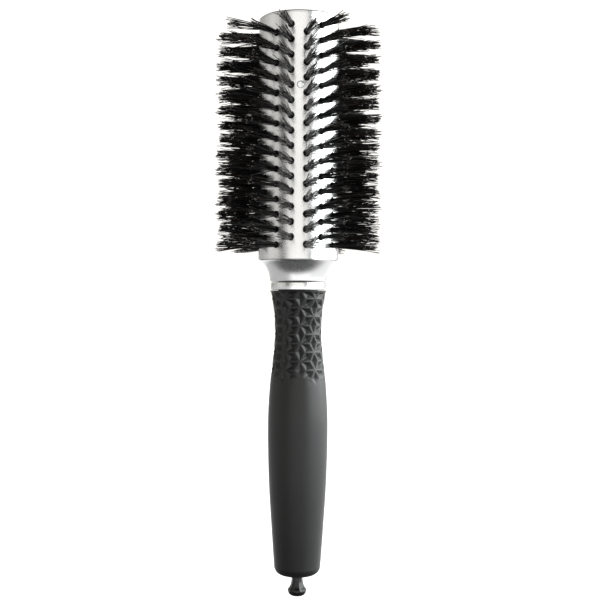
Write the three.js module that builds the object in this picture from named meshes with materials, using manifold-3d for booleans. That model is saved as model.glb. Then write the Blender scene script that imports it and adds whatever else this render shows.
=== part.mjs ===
// Round barrel hair brush: a perforated aluminium barrel with sixteen rows of bristle tufts, a flared metal
// ferrule, a soft grip moulded over a plastic handle core, and a sectioning pick that pulls out of the tail.
// Millimetres, +Z up. The brush's axis is +Z, the origin is the lowest point of the pick's knob, and -Y is
// the front.
import * as THREE from "three";
import { mergeVertices } from "three/addons/utils/BufferGeometryUtils.js";
import Module from "manifold-3d";

const wasm = await Module();
wasm.setup();

// ---- Driving dimensions ----
const OVERALL_LENGTH = 252;
const GAP = 0.3; // clearance that neighbouring pieces keep

const BARREL_RADIUS = 17.5;
const BARREL_BOTTOM = 146.8;
const SLEEVE_WALL = 1;
const CAP_LIP = 0.8;
const CAP_DISH_RADIUS = 12;
const CAP_DISH_DEPTH = 0.4;
const CAP_WALL = 1.6;
const SLEEVE_TOP = OVERALL_LENGTH - CAP_LIP - GAP;

const COLUMNS = 16;
const TUFTS_PER_COLUMN = 15;
const TUFT_PITCH = 6.42;
const FIRST_TUFT = 152.8; // height of the lowest tuft; every second column starts half a pitch higher
const TUFT_TIP_REACH = 35.5; // from the axis
const TUFT_TIP_RADIUS = 2.6;
const TUFT_ROOT_RADIUS = 1;
const TUFT_HOLE_RADIUS = 1.5;
const TUFT_SIDES = 4;
const HOLE_SIDES = 6;

const STRIP_WIDTH = 3.4;
const STRIP_INNER = 13.9; // distances of the carrier strip's two faces from the axis
const STRIP_OUTER = 16;
const STRIP_BOTTOM = 149.8;
const STRIP_TOP = 247.6;

const PIN_HEIGHT = 220.2;
const PIN_HEAD_RADIUS = 1.3;
const PIN_SHANK_RADIUS = 0.85;
const PIN_DEPTH = 5.5; // distance of the pin's point from the axis
const PIN_HOLE_SIDES = 8;

const BAND_BOTTOM = 133.7;
const BAND_TOP = 136.9;
const BAND_RADIUS = 11.97;
const FERRULE_NECK_RADIUS = 12.3;
const FERRULE_CURVE = 12; // radius of the concave flare
const FERRULE_LIP = 0.5; // height of the steeper edge that ends the flare at the barrel
const FERRULE_PLUG = 2.9; // how far the ferrule and the cap reach into the sleeve

const SPIGOT_RADIUS = 8.7;
const SPIGOT_TOP = 238;

const GRIP_TOP = 133.4;
const GRIP_BOTTOM = 9.4;
const GRIP_END_FILLET = 3.8;
const GRIP_WALL = 2;

const BUSH_RADIUS = 6;
const BUSH_BORE = 4;
const BUSH_TOP = 24;

const KNOB_PLUG_RADIUS = 3.4;
const KNOB_PLUG_TOP = 21;
const KNOB_SIDES = 10;
const KNOB_RADIUS = 4.12;
const KNOB_EDGE = 2.5; // rounding under the knob
const KNOB_NECK_RADIUS = 2.36;
const RING_GROOVE_DEPTH = 1.1;
const RING_HEIGHT = 16;
const RING_SECTION_RADIUS = 0.55;
const SHAFT_RADIUS = 1.35;
const SHAFT_SEAT = 11.5; // bottom of the hole in the knob that holds the shaft
const SHAFT_TIP = 84;
const SHAFT_TAPER = 40; // length of the taper to the point

// ---- Worked-out dimensions ----
const BARREL_SIDES = 2 * COLUMNS; // one flat for each column and one for each space between two
const COLUMN_ANGLE = (2 * Math.PI) / COLUMNS;
const FLAT_TURN = Math.PI / BARREL_SIDES; // turns a flat of the barrel to the front
const ROUND_SIDES = 28;
const SMALL_SIDES = 16;
const RING_STEPS = 8;
const PLUG_RADIUS = (BARREL_RADIUS - SLEEVE_WALL) * Math.cos(FLAT_TURN) - GAP;

// ---- Materials ----
const finish = (color, roughness, metalness = 0) =>
  new THREE.MeshStandardMaterial({ color, roughness, metalness });
const SATIN_ALUMINIUM = finish(0xd4d4d2, 0.35, 1);
const CORE_PLASTIC = finish(0x2a2a2c, 0.55);
const GRIP_RUBBER = finish(0x262626, 0.6);
const BRISTLE = finish(0x14120f, 0.5);
const GLOSS_PLASTIC = finish(0x0c0c0c, 0.2);
const POLISHED_STEEL = finish(0xb4b6b8, 0.25, 1);
const RING_RUBBER = finish(0x151515, 0.7);

// ---- Shape helpers ----
// A solid of revolution about Z. The profile is a list of [radius, height], up the outside.
function turned(profile, sides, turn = 0) {
  const points = profile.map(([radius, height]) => new THREE.Vector2(radius, height));
  return new THREE.LatheGeometry(points, sides, turn).rotateX(Math.PI / 2);
}

// A straight prism or cone from one distance in front of the axis to another, at a height.
function spoke(innerRadius, outerRadius, from, to, height, sides) {
  return new THREE.CylinderGeometry(outerRadius, innerRadius, to - from, sides)
    .rotateX(Math.PI)
    .translate(0, -(from + to) / 2, height);
}

// Points of a circular arc in a profile, from one angle to another in radians, ends included.
function arc(centreRadius, centreHeight, radius, from, to, steps) {
  return Array.from({ length: steps + 1 }, (_, i) => {
    const angle = from + ((to - from) * i) / steps;
    return [centreRadius + radius * Math.cos(angle), centreHeight + radius * Math.sin(angle)];
  });
}

function solidOf(geometry) {
  const bare = geometry.clone().deleteAttribute("normal").deleteAttribute("uv");
  const merged = mergeVertices(bare, 1e-4);
  return new wasm.Manifold(
    new wasm.Mesh({
      numProp: 3,
      vertProperties: merged.attributes.position.array,
      triVerts: new Uint32Array(merged.index.array),
    }),
  );
}

function geometryOf(solid) {
  const mesh = solid.getMesh();
  return new THREE.BufferGeometry()
    .setAttribute("position", new THREE.BufferAttribute(mesh.vertProperties, 3))
    .setIndex(new THREE.BufferAttribute(mesh.triVerts, 1));
}

function piece(name, geometry, material) {
  const mesh = new THREE.Mesh(geometry, material);
  mesh.name = name;
  return mesh;
}

// ---- Barrel ----
const columnTurn = (column) => (column + 0.5) * COLUMN_ANGLE;
const startsHigh = (column) => column % 2 === 1;
const tuftHeights = (high) =>
  Array.from({ length: TUFTS_PER_COLUMN }, (_, i) => FIRST_TUFT + (i + (high ? 0.5 : 0)) * TUFT_PITCH);

function barrelSleeve() {
  const inner = BARREL_RADIUS - SLEEVE_WALL;
  const tube = turned(
    [
      [inner, BARREL_BOTTOM],
      [BARREL_RADIUS, BARREL_BOTTOM],
      [BARREL_RADIUS, SLEEVE_TOP],
      [inner, SLEEVE_TOP],
      [inner, BARREL_BOTTOM],
    ],
    BARREL_SIDES,
    FLAT_TURN,
  );
  const from = inner - 1;
  const to = BARREL_RADIUS + 1;
  let sleeve = solidOf(tube);
  for (let column = 0; column < COLUMNS; column++) {
    for (const height of tuftHeights(startsHigh(column))) {
      const hole = spoke(TUFT_HOLE_RADIUS, TUFT_HOLE_RADIUS, from, to, height, HOLE_SIDES);
      sleeve = sleeve.subtract(solidOf(hole.rotateZ(columnTurn(column))));
    }
  }
  const pinHole = spoke(PIN_HEAD_RADIUS + GAP, PIN_HEAD_RADIUS + GAP, from, to, PIN_HEIGHT, SMALL_SIDES);
  return piece("barrel_sleeve", geometryOf(sleeve.subtract(solidOf(pinHole))), SATIN_ALUMINIUM);
}

// The hole for the barrel pin's shank, from a distance in front of the axis.
function shankHole(from) {
  const radius = PIN_SHANK_RADIUS + GAP;
  return spoke(radius, radius, from, BARREL_RADIUS, PIN_HEIGHT, PIN_HOLE_SIDES);
}

// The core has a pocket along its length for each carrier strip, with a rib between each two.
function barrelCore() {
  const halfPocket = STRIP_WIDTH / 2 + GAP;
  const floor = STRIP_INNER - GAP;
  const mouth = Math.sqrt(PLUG_RADIUS ** 2 - halfPocket ** 2);
  const pocket = [
    [-halfPocket, mouth],
    [-halfPocket, floor],
    [halfPocket, floor],
    [halfPocket, mouth],
  ];
  const outline = [];
  for (let column = 0; column < COLUMNS; column++) {
    for (const [across, out] of pocket) {
      outline.push(new THREE.Vector2(across, -out).rotateAround(new THREE.Vector2(), columnTurn(column)));
    }
  }
  const section = new THREE.Shape(outline);
  section.holes.push(new THREE.Path().absarc(0, 0, SPIGOT_RADIUS + GAP, 0, 2 * Math.PI));
  const length = STRIP_TOP - STRIP_BOTTOM;
  const body = new THREE.ExtrudeGeometry(section, {
    depth: length,
    bevelEnabled: false,
    curveSegments: SMALL_SIDES,
  }).translate(0, 0, STRIP_BOTTOM);
  const pinHole = shankHole(SPIGOT_RADIUS - 1);
  return piece("barrel_core", geometryOf(solidOf(body).subtract(solidOf(pinHole))), CORE_PLASTIC);
}

// One row is a carrier strip with its tufts fused to it.
function bristleRowGeometry(high) {
  const length = STRIP_TOP - STRIP_BOTTOM;
  const strip = new THREE.BoxGeometry(STRIP_WIDTH, STRIP_OUTER - STRIP_INNER, length).translate(
    0,
    -(STRIP_INNER + STRIP_OUTER) / 2,
    STRIP_BOTTOM + length / 2,
  );
  const root = STRIP_OUTER - GAP;
  return geometryOf(
    tuftHeights(high).reduce(
      (row, height) =>
        row.add(solidOf(spoke(TUFT_ROOT_RADIUS, TUFT_TIP_RADIUS, root, TUFT_TIP_REACH, height, TUFT_SIDES))),
      solidOf(strip),
    ),
  );
}

function bristleRows() {
  const low = bristleRowGeometry(false);
  const high = bristleRowGeometry(true);
  return Array.from({ length: COLUMNS }, (_, column) => {
    const number = String(column + 1).padStart(2, "0");
    const row = piece("bristle_row_" + number, startsHigh(column) ? high : low, BRISTLE);
    row.rotation.z = columnTurn(column);
    return row;
  });
}

function barrelPin() {
  const headTop = BARREL_RADIUS * Math.cos(FLAT_TURN);
  const headBottom = STRIP_OUTER + GAP;
  const pin = turned(
    [
      [0, -headTop],
      [PIN_HEAD_RADIUS, -headTop],
      [PIN_HEAD_RADIUS, -headBottom],
      [PIN_SHANK_RADIUS, -headBottom],
      [PIN_SHANK_RADIUS, -PIN_DEPTH - 1],
      [0, -PIN_DEPTH],
    ],
    SMALL_SIDES,
  );
  const mesh = piece("barrel_pin", pin, POLISHED_STEEL);
  mesh.rotation.x = -Math.PI / 2;
  mesh.position.z = PIN_HEIGHT;
  return mesh;
}

// A shallow cup with a lip over the sleeve's end, and a dished outer face.
function tipCap() {
  const plugBottom = SLEEVE_TOP - FERRULE_PLUG;
  const edge = 0.4;
  const dishFloor = OVERALL_LENGTH - CAP_DISH_DEPTH;
  const profile = [
    [0, dishFloor - CAP_WALL],
    [PLUG_RADIUS - CAP_WALL, dishFloor - CAP_WALL],
    [PLUG_RADIUS - CAP_WALL, plugBottom],
    [PLUG_RADIUS, plugBottom],
    [PLUG_RADIUS, OVERALL_LENGTH - CAP_LIP],
    [BARREL_RADIUS, OVERALL_LENGTH - CAP_LIP],
    ...arc(BARREL_RADIUS - edge, OVERALL_LENGTH - edge, edge, 0, Math.PI / 2, 2),
    [CAP_DISH_RADIUS, OVERALL_LENGTH],
    [CAP_DISH_RADIUS - CAP_DISH_DEPTH, dishFloor],
    [0, dishFloor],
  ];
  return piece("tip_cap", turned(profile, BARREL_SIDES, FLAT_TURN), SATIN_ALUMINIUM);
}

// ---- Ferrule ----
// The neck flares to the barrel in one concave arc, upright where it leaves the band.
function ferrule() {
  const bottom = BAND_TOP + GAP;
  const top = BARREL_BOTTOM - GAP;
  const sweep = Math.asin((top - FERRULE_LIP - bottom) / FERRULE_CURVE);
  const bore = SPIGOT_RADIUS + GAP;
  const chamfer = 0.4;
  const profile = [
    [bore, bottom],
    [FERRULE_NECK_RADIUS - chamfer, bottom],
    ...arc(FERRULE_NECK_RADIUS + FERRULE_CURVE, bottom, FERRULE_CURVE, Math.PI, Math.PI - sweep, 6),
    [BARREL_RADIUS - 0.2, top],
    [PLUG_RADIUS, top],
    [PLUG_RADIUS, top + FERRULE_PLUG],
    [bore, top + FERRULE_PLUG],
    [bore, bottom],
  ];
  return piece("ferrule", turned(profile, ROUND_SIDES), SATIN_ALUMINIUM);
}

function ferruleBand() {
  const bore = SPIGOT_RADIUS + GAP;
  const edge = 0.25;
  const profile = [
    [bore, BAND_BOTTOM],
    [BAND_RADIUS, BAND_BOTTOM],
    [BAND_RADIUS, BAND_TOP - edge],
    [BAND_RADIUS - edge, BAND_TOP],
    [bore, BAND_TOP],
    [bore, BAND_BOTTOM],
  ];
  return piece("ferrule_band", turned(profile, ROUND_SIDES), SATIN_ALUMINIUM);
}

// ---- Handle ----
// The grip's outside from tail to ferrule, as radius and height, with a belly for the palm and a waist for
// the fingers.
const GRIP_OUTLINE = new THREE.SplineCurve(
  [
    [10.1, GRIP_BOTTOM + GRIP_END_FILLET],
    [10.45, 18],
    [11.46, 32.7],
    [12.54, 50.2],
    [13.03, 70],
    [12.9, 81],
    [12.06, 94],
    [10.64, 107.2],
    [10.17, 115.9],
    [10.6, 124.7],
    [11.4, 129.1],
    [11.75, 131.8],
    [12.25, GRIP_TOP],
  ].map(([radius, height]) => new THREE.Vector2(radius, height)),
);
const GRIP_FILLET_END = -Math.PI / 16; // leaves out the fillet's last step, where the outline takes over
const GRIP_STEPS = 18;
const outlinePoints = (steps, inset = 0) => GRIP_OUTLINE.getPoints(steps).map((p) => [p.x - inset, p.y]);

function gripSleeve() {
  const hole = BUSH_RADIUS + GAP;
  const endRadius = GRIP_OUTLINE.getPoint(0).x;
  const floor = GRIP_BOTTOM + GRIP_WALL;
  const inside = outlinePoints(GRIP_STEPS / 3, GRIP_WALL).reverse();
  const profile = [
    [hole, GRIP_BOTTOM],
    ...arc(
      endRadius - GRIP_END_FILLET,
      GRIP_BOTTOM + GRIP_END_FILLET,
      GRIP_END_FILLET,
      -Math.PI / 2,
      GRIP_FILLET_END,
      4,
    ),
    ...outlinePoints(GRIP_STEPS),
    ...inside,
    [endRadius - GRIP_WALL, floor],
    [hole, floor],
    [hole, GRIP_BOTTOM],
  ];
  return piece("grip_sleeve", turned(profile, ROUND_SIDES), GRIP_RUBBER);
}

// The grip's hard core is a tube that the pick goes up into. Its spigot carries the ferrule and the barrel.
function handleCore() {
  const inset = GRIP_WALL + GAP;
  const bottom = GRIP_BOTTOM + inset;
  const endRadius = GRIP_OUTLINE.getPoint(0).x - inset;
  const bore = BUSH_RADIUS + GAP;
  const outside = outlinePoints(GRIP_STEPS / 3, inset).slice(1);
  const profile = [
    [bore, bottom],
    [endRadius, bottom],
    ...outside,
    [SPIGOT_RADIUS, GRIP_TOP],
    [SPIGOT_RADIUS, SPIGOT_TOP - 1],
    [SPIGOT_RADIUS - 1, SPIGOT_TOP],
    [bore, SPIGOT_TOP],
    [bore, bottom],
  ];
  const pinHole = shankHole(PIN_DEPTH - 1);
  const core = solidOf(turned(profile, ROUND_SIDES)).subtract(solidOf(pinHole));
  return piece("handle_core", geometryOf(core), CORE_PLASTIC);
}

function pickBush() {
  const edge = 0.4;
  const profile = [
    [BUSH_BORE + edge, GRIP_BOTTOM],
    [BUSH_RADIUS, GRIP_BOTTOM],
    [BUSH_RADIUS, BUSH_TOP],
    [SHAFT_RADIUS + GAP, BUSH_TOP],
    [SHAFT_RADIUS + GAP, BUSH_TOP - 2],
    [BUSH_BORE, BUSH_TOP - 2],
    [BUSH_BORE, GRIP_BOTTOM + edge],
    [BUSH_BORE + edge, GRIP_BOTTOM],
  ];
  return piece("pick_bush", turned(profile, SMALL_SIDES), CORE_PLASTIC);
}

// ---- Sectioning pick ----
// A faceted neck that flares to a round button, on a plug that fits the bush.
function pickKnob() {
  const foot = 2;
  const neckTop = GRIP_BOTTOM + 1;
  const flare = new THREE.SplineCurve(
    [
      [4, 2.6],
      [3.3, 3.8],
      [2.72, 5.2],
      [KNOB_NECK_RADIUS, 7.4],
    ].map(([radius, height]) => new THREE.Vector2(radius, height)),
  );
  const neck = turned(
    [
      [0, foot],
      [KNOB_RADIUS - 0.2, foot],
      ...flare.getPoints(5).map((p) => [p.x, p.y]),
      [KNOB_NECK_RADIUS, neckTop],
      [0, neckTop],
    ],
    KNOB_SIDES,
    Math.PI / KNOB_SIDES,
  );
  const button = turned(
    [
      [0, 0],
      ...arc(KNOB_RADIUS - KNOB_EDGE, KNOB_EDGE, KNOB_EDGE, -Math.PI / 2, 0, 5),
      [0, KNOB_EDGE + 0.5],
    ],
    ROUND_SIDES,
  );
  const holeRadius = SHAFT_RADIUS + GAP;
  const groove = RING_SECTION_RADIUS + GAP;
  const grooveFloor = KNOB_PLUG_RADIUS - RING_GROOVE_DEPTH;
  const plug = turned(
    [
      [0, GRIP_BOTTOM + GAP],
      [KNOB_PLUG_RADIUS, GRIP_BOTTOM + GAP],
      [KNOB_PLUG_RADIUS, RING_HEIGHT - groove],
      [grooveFloor, RING_HEIGHT - groove],
      [grooveFloor, RING_HEIGHT + groove],
      [KNOB_PLUG_RADIUS, RING_HEIGHT + groove],
      [KNOB_PLUG_RADIUS, KNOB_PLUG_TOP - 0.5],
      [KNOB_PLUG_RADIUS - 0.5, KNOB_PLUG_TOP],
      [holeRadius, KNOB_PLUG_TOP],
      [holeRadius, SHAFT_SEAT],
      [0, SHAFT_SEAT],
    ],
    SMALL_SIDES,
  );
  const knob = solidOf(neck).add(solidOf(button)).add(solidOf(plug));
  return piece("pick_knob", geometryOf(knob), GLOSS_PLASTIC);
}

function pickShaft() {
  const pointRadius = 0.6;
  const profile = [
    [0, SHAFT_SEAT + GAP],
    [SHAFT_RADIUS, SHAFT_SEAT + GAP],
    [SHAFT_RADIUS, SHAFT_TIP - SHAFT_TAPER],
    ...arc(0, SHAFT_TIP - pointRadius, pointRadius, Math.PI / 12, Math.PI / 2, 4),
  ];
  return piece("pick_shaft", turned(profile, SMALL_SIDES), POLISHED_STEEL);
}

function pickRing() {
  const centre = KNOB_PLUG_RADIUS - RING_GROOVE_DEPTH + GAP + RING_SECTION_RADIUS;
  const profile = arc(centre, RING_HEIGHT, RING_SECTION_RADIUS, -Math.PI, Math.PI, RING_STEPS);
  return piece("pick_ring", turned(profile, SMALL_SIDES), RING_RUBBER);
}

// ---- Assembly ----
const brush = new THREE.Group();
brush.add(barrelSleeve(), barrelCore(), ...bristleRows(), barrelPin(), tipCap());
brush.add(ferrule(), ferruleBand());
brush.add(gripSleeve(), handleCore(), pickBush());

const pick = new THREE.Group();
pick.add(pickKnob(), pickShaft(), pickRing());
brush.add(pick);

export default brush;
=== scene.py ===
"""Round barrel hair brush: fine surfaces, bristles, materials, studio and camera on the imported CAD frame.

Metres, +Z up the brush's axis, -Y towards the camera. Lengths that the CAD settles come from its boxes.
"""
import math

import bpy
import numpy as np
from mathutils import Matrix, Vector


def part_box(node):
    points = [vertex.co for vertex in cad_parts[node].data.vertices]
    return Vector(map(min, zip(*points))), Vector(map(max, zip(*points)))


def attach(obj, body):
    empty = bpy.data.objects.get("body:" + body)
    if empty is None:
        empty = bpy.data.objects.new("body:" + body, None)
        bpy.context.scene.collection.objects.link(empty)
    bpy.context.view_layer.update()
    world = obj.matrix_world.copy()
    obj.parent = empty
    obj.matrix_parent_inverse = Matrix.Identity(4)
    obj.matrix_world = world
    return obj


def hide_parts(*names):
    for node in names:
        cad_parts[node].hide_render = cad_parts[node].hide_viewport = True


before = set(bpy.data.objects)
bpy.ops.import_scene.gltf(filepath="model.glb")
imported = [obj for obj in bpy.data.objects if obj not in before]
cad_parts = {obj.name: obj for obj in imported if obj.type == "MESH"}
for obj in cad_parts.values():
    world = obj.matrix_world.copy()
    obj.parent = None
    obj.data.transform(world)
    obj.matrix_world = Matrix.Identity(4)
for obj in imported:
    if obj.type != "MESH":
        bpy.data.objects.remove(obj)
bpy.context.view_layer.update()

MM = 0.001
BODY = "brush"
PICK = "pick"
FRONT = -math.pi / 2  # direction towards the camera, as an angle round the brush's axis

# ---- Driving dimensions: barrel ----
COLUMNS = 16  # columns of tufts
COLUMN_ANGLE = 2 * math.pi / COLUMNS
TUFTS = 15  # tufts in a column
PITCH = 6.42 * MM  # from tuft to tuft in a column
FIRST_TUFT = 152.8 * MM
BARREL_RADIUS = 17.5 * MM
PLUG_RADIUS = 16.0 * MM  # of the cap and the ferrule inside the sleeve
SLEEVE_WALL = 1.0 * MM
SLEEVE_CHAMFER = 0.05 * MM
SLEEVE_CREASE = 40  # degrees
HOLE_RADIUS = 1.4 * MM
HOLE_ROUND = 0.14 * MM  # rounding of a hole's rim
PIN_HEIGHT = 220.2 * MM
PIN_TURN = math.radians(2.3)  # a little right of the front
PIN_HOLE_RADIUS = 1.55 * MM
PIN_HEAD_RADIUS = 1.4 * MM
PIN_SHANK_RADIUS = 0.85 * MM

# ---- Driving dimensions: bristles ----
CLUMPS = 12  # hairs of a tuft lean together in clumps
CLUMP_HAIRS = 3
HAIRS = CLUMPS * CLUMP_HAIRS  # hairs of a tuft
HAIR_SIDES = 3
HAIR_STATIONS = np.array([0, 0.085, 0.28, 0.5, 0.75, 0.985, 1.0])  # shares of a hair's length
HAIR_WIDTHS = np.array([1, 1, 0.97, 0.91, 0.82, 0.73, 0.56])
HAIR_POINTS = len(HAIR_STATIONS) * HAIR_SIDES
HAIR_RADIUS = 0.18 * MM
HAIR_START = 16.1 * MM  # distances from the barrel's axis
TIP_REACH = 36.0 * MM
THICKNESSES = (0.75, 1.2)  # least and most, as shares of the hair radius
ROOT_DISC = 1.0 * MM
ROOT_SCATTER = 0.18 * MM
TIP_SCATTER = 0.3 * MM
CLUMP_SCATTER = 0.16  # share of the disc that a clump is off its even place
TUFT_FANS = (1.9, 2.45)  # millimetres that a tuft's outer hairs fan out by, least and most
USUAL_FANS = (0.85, 1.1)  # shares of that for most hairs, and for the strays
STRAY_FANS = (1.2, 2.1)
STRAY_SHARE = 0.12
FAN_CURVE = 1.35  # above 1, the hairs fan out more near their tips
TUFT_LEAN = 0.3 * MM
HAIR_BEND = 0.35 * MM
TUFT_REACH = (0, 0.3)  # mean and spread in millimetres, past the usual tip
CLUMP_REACH = (-1.0, 0.65)
HAIR_REACH = (0, 0.45 * MM)  # the same in metres, for a single hair
LONGEST = 0.7 * MM  # no hair goes further past the usual tip
SHORT_SHARE = 0.2
SHORTENING = 5  # millimetres at most, for a short hair
HAIR_CREASE = 60  # degrees
GOLDEN_ANGLE = math.pi * (3 - math.sqrt(5))
STRIP_HALF_WIDTH = 1.7 * MM
STRIP_INNER = 13.9 * MM
FIRST_SEED = 500

# ---- Driving dimensions: cap, ferrule and band ----
CAP_EDGE = 0.65 * MM  # width of the bevel round the cap
CAP_BEVEL = 0.12 * MM  # rounding of the bevel's corner
CAP_WALL = 1.6 * MM
CAP_DISH_DEPTH = 0.4 * MM
CAP_DISH_RADIUS = 12.2 * MM
FERRULE_NECK = 12.3 * MM
FERRULE_CURVE = 12.0 * MM  # radius of the concave flare
FERRULE_LIP = 0.5 * MM
LIP_INSET = 0.3 * MM  # the lip lies this far inside the barrel's surface
LIP_EDGE = (0.15 * MM, 0.1 * MM)  # width and height of the lip's chamfer
FERRULE_BORE = 9.0 * MM
METAL_EDGE = 0.25 * MM

# ---- Driving dimensions: grip ----
GRIP_COLUMNS = 10  # columns of star centres round the grip
STAR_PITCH = 7.65 * MM
STAR_TOP = 125.9 * MM  # a star centre in the column nearest the front
STAR_TURN = FRONT + math.radians(4.5)  # that column lies a little right of the front
STARS_BELOW = 4  # stars under that one in its column
PATTERN_RIM = 0.6 * MM  # plain edge at the grip's top
RIM_FADE = 0.8 * MM  # the pattern reaches its full depth over this height
END_FADE = 0.8 * STAR_PITCH  # the same at its lower end
CELL_DEPTH = 1.2 * MM
RIDGE_FLAT = 0.2 * MM  # half-width of a ridge's flat top
RIDGE_ROUND = 0.08 * MM
FINE = 36  # mesh steps between two star centres
PATTERN_LOW = 91.0 * MM
PLAIN_ROWS = 36  # rows of points under the pattern
INNER_ROWS = 12
GRIP_FILLET = 3.8 * MM  # rounding of the tail's edge
GRIP_HOLE = 6.3 * MM  # radius of the hole in the tail
GRIP_EDGE = 0.35 * MM
GRIP_WALL = 2.0 * MM
GRIP_CREASE = 60  # degrees

# ---- Driving dimensions: pick and bush ----
KNOB_SIDES = 10
KNOB_RADIUS = 4.12 * MM
KNOB_ROUND = 2.5 * MM  # rounding under the button
NECK_RADIUS = 2.36 * MM
NECK_LOW = 7.9 * MM
# Radius and height of the knob's flare, in millimetres, from the button up to the neck.
KNOB_FLARE = [(4.02, 2.9), (3.76, 3.25), (3.38, 3.75), (3.03, 4.35), (2.76, 5.1), (2.56, 6.0), (2.42, 6.9)]
FACETS_LOW = 1.2 * MM  # the facets fade in from here
FACETS_FULL = 3.2 * MM
FACET_HOLLOW = 0.025  # share of the radius that a facet is hollowed by
KNOB_PLUG_RADIUS = 3.4 * MM
GROOVE_FLOOR = 2.3 * MM
GAP = 0.3 * MM  # clearance between neighbours
SHAFT_RADIUS = 1.35 * MM
SHAFT_POINT = 0.6 * MM
SHAFT_TAPER = 40 * MM
BUSH_RADIUS = 6.0 * MM
BUSH_BORE = 4.0 * MM
BUSH_GUIDE = 1.65 * MM  # radius of the hole that guides the shaft
BUSH_ROOF = 2.0 * MM

# ---- Driving values: camera and light ----
LENS = 63.84  # millimetres
CAMERA_SIDE = 0.79 * MM
CAMERA_DISTANCE = 465.9 * MM
CAMERA_HEIGHT = 129.29 * MM
CAMERA_ROLL = math.radians(-0.224)
# Direction round the brush in degrees, 0 towards the camera and 90 to its right, and brightness.
PANELS = [
    (-180, 1.12), (-164, 1.12), (-158, 0.55), (-128, 0.55), (-106, 0.74), (-84, 1.0), (-62, 0.88),
    (-54, 0.58), (-50, 0.2), (-42, 0.2), (-35, 0.65), (-27, 1.1), (-18, 1.49), (23, 1.49), (29, 0.2),
    (37, 0.2), (43, 2.0), (50, 9.0), (112, 9.0), (128, 5.0), (142, 0.7), (158, 0.7), (164, 1.12),
    (180, 1.12),
]
# Light of the table by the same directions, on top of what the panels give it.
GLOW = [
    (-180, 0.74), (-150, 0.25), (-60, 0.25), (-40, 0.4), (-24, 1.35), (30, 1.35), (45, 1.2), (60, 0.9),
    (150, 0.9), (180, 0.74),
]
# Degrees above the horizon, and the share of the light left there.
CEILING = [(0, 0.97), (14, 1.04), (32, 1.04), (50, 0.15), (90, 0.08)]
WARM = (1.0, 0.985, 0.95)
COOL = (0.96, 0.99, 1.0)
FLOOR = -95 * MM
FLOOR_HALF_WIDTH = 8.0
PATCH_CENTRE = (-24 * MM, -110 * MM)  # middle of the unlit patch of the table, which is painted dark too: a painted shadow
PATCH_INNER = 150 * MM
PATCH_OUTER = 450 * MM
BACK_START = 200 * MM  # behind the brush, the table's lit back begins here and is full further on
BACK_FULL = 295 * MM
BACK_HALF_WIDTH = 136 * MM  # of the lit back, where it would meet the brush
BACK_FADE = 200 * MM
BACK_SPREAD = 0.285  # how fast the lit back widens with distance, as the camera's view does
TABLE_WHITE = 1.06  # brightness of the lit back
TABLE_BASE = 0.3  # brightness the table has from the panels alone


# ---- Mesh helpers ----
def mesh_object(name, points, faces, material, sharp_angle=None):
    """A smooth-shaded mesh object. Edges bent by more than sharp_angle degrees stay crisp."""
    mesh = bpy.data.meshes.new(name)
    mesh.from_pydata(np.asarray(points, float).tolist(), [], faces)
    mesh.validate()
    mesh.shade_smooth()
    if sharp_angle is not None:
        mesh.set_sharp_from_angle(angle=math.radians(sharp_angle))
    mesh.materials.append(material)
    obj = bpy.data.objects.new(name, mesh)
    bpy.context.scene.collection.objects.link(obj)
    return obj


def stand_for(obj, body, slot, *nodes):
    """The piece moves with a body and shows in place of CAD nodes. The slot argument is not used."""
    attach(obj, body)
    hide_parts(*nodes)


def band_faces(low, high, columns):
    """Quads between two rings of points, each given by the index of its first point."""
    rights = [(column + 1) % columns for column in range(columns)]
    return [(low + left, low + right, high + right, high + left) for left, right in enumerate(rights)]


def grid_faces(columns, rows):
    """Quads of rings of points that are stored one after another."""
    faces = []
    for row in range(rows - 1):
        faces += band_faces(row * columns, (row + 1) * columns, columns)
    return faces


def arc(radius, height, size, start, end, steps):
    """Profile points on a circular arc, angles in degrees."""
    angles = np.radians(np.linspace(start, end, steps + 1))
    return [(radius + size * math.cos(a), height + size * math.sin(a)) for a in angles]


def turned(name, profile, material, sides=128, sharp_angle=35, shape=None):
    """A solid of revolution from a profile of (radius, height), up the outside.

    A profile that returns to its first point makes a ring, and any other starts and ends on the axis.
    shape(points) may move the finished points.
    """
    ring = profile[0] == profile[-1]
    inner = profile[:-1] if ring else profile[1:-1]
    angles = np.linspace(0, 2 * math.pi, sides, endpoint=False)
    turn = np.stack([np.cos(angles), np.sin(angles)], axis=1)
    rows = [np.column_stack([turn * radius, np.full(sides, height)]) for radius, height in inner]
    points = np.concatenate(rows)
    faces = grid_faces(sides, len(inner))
    last = (len(inner) - 1) * sides
    if ring:
        faces += band_faces(last, 0, sides)
    else:
        bottom = len(points)
        top = bottom + 1
        ends = [(0, 0, profile[0][1]), (0, 0, profile[-1][1])]
        points = np.vstack([points, ends])
        faces += [((i + 1) % sides, i, bottom) for i in range(sides)]
        faces += [(last + i, last + (i + 1) % sides, top) for i in range(sides)]
    if shape:
        points = shape(points)
    return mesh_object(name, points, faces, material, sharp_angle)


# ---- Material helpers ----
def new_material(name, **settings):
    """A Principled material with constant settings on its own sockets, and its node tree."""
    material = bpy.data.materials.new(name)
    material.use_nodes = True
    tree = material.node_tree
    shader = tree.nodes["Principled BSDF"]
    for socket, value in settings.items():
        shader.inputs[socket.replace("_", " ")].default_value = value
    return material, tree, shader


def add_node(tree, kind, inputs=None, **settings):
    """A node with its settings. Each of its inputs is given as a value or as the socket that feeds it."""
    node = tree.nodes.new(kind)
    for key, value in settings.items():
        setattr(node, key, value)
    for key, value in (inputs or {}).items():
        if isinstance(value, bpy.types.NodeSocket):
            tree.links.new(value, node.inputs[key])
        else:
            node.inputs[key].default_value = value
    return node


def math_node(tree, operation, *values):
    inputs = dict(enumerate(values))
    return add_node(tree, "ShaderNodeMath", inputs, operation=operation).outputs[0]


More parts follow.
